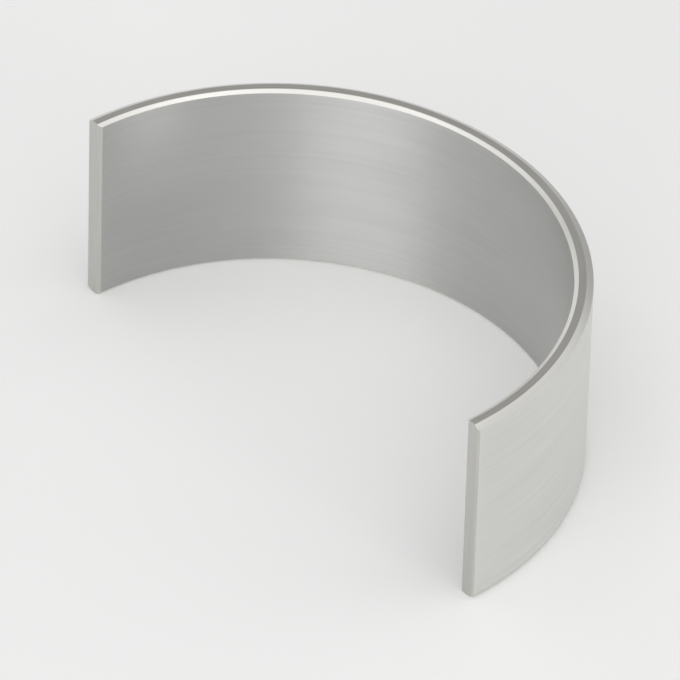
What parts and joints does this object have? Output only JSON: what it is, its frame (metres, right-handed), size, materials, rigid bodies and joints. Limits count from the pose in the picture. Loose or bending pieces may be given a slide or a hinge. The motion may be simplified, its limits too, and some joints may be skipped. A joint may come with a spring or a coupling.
{
  "type": "engine bearing shell",
  "caption": "Plain half-round bearing shell with chamfered edges: a thin steel-backed strip that lines half of a connecting rod's big-end bore.",
  "frame": {"origin": "on the bearing axis, in the plane of the joint faces, half-way along the width of the shell", "axes": "+Z along the bearing axis, +X across the joint faces, +Y from the bearing axis towards the crown"},
  "size_m": [0.048, 0.024, 0.0168],
  "materials": {
    "shell_metal": "satin, finely bored inside and rolled outside"
  },
  "bodies": {
    "root": {"bearing_shell": "shell_metal"}
  },
  "joints": []
}
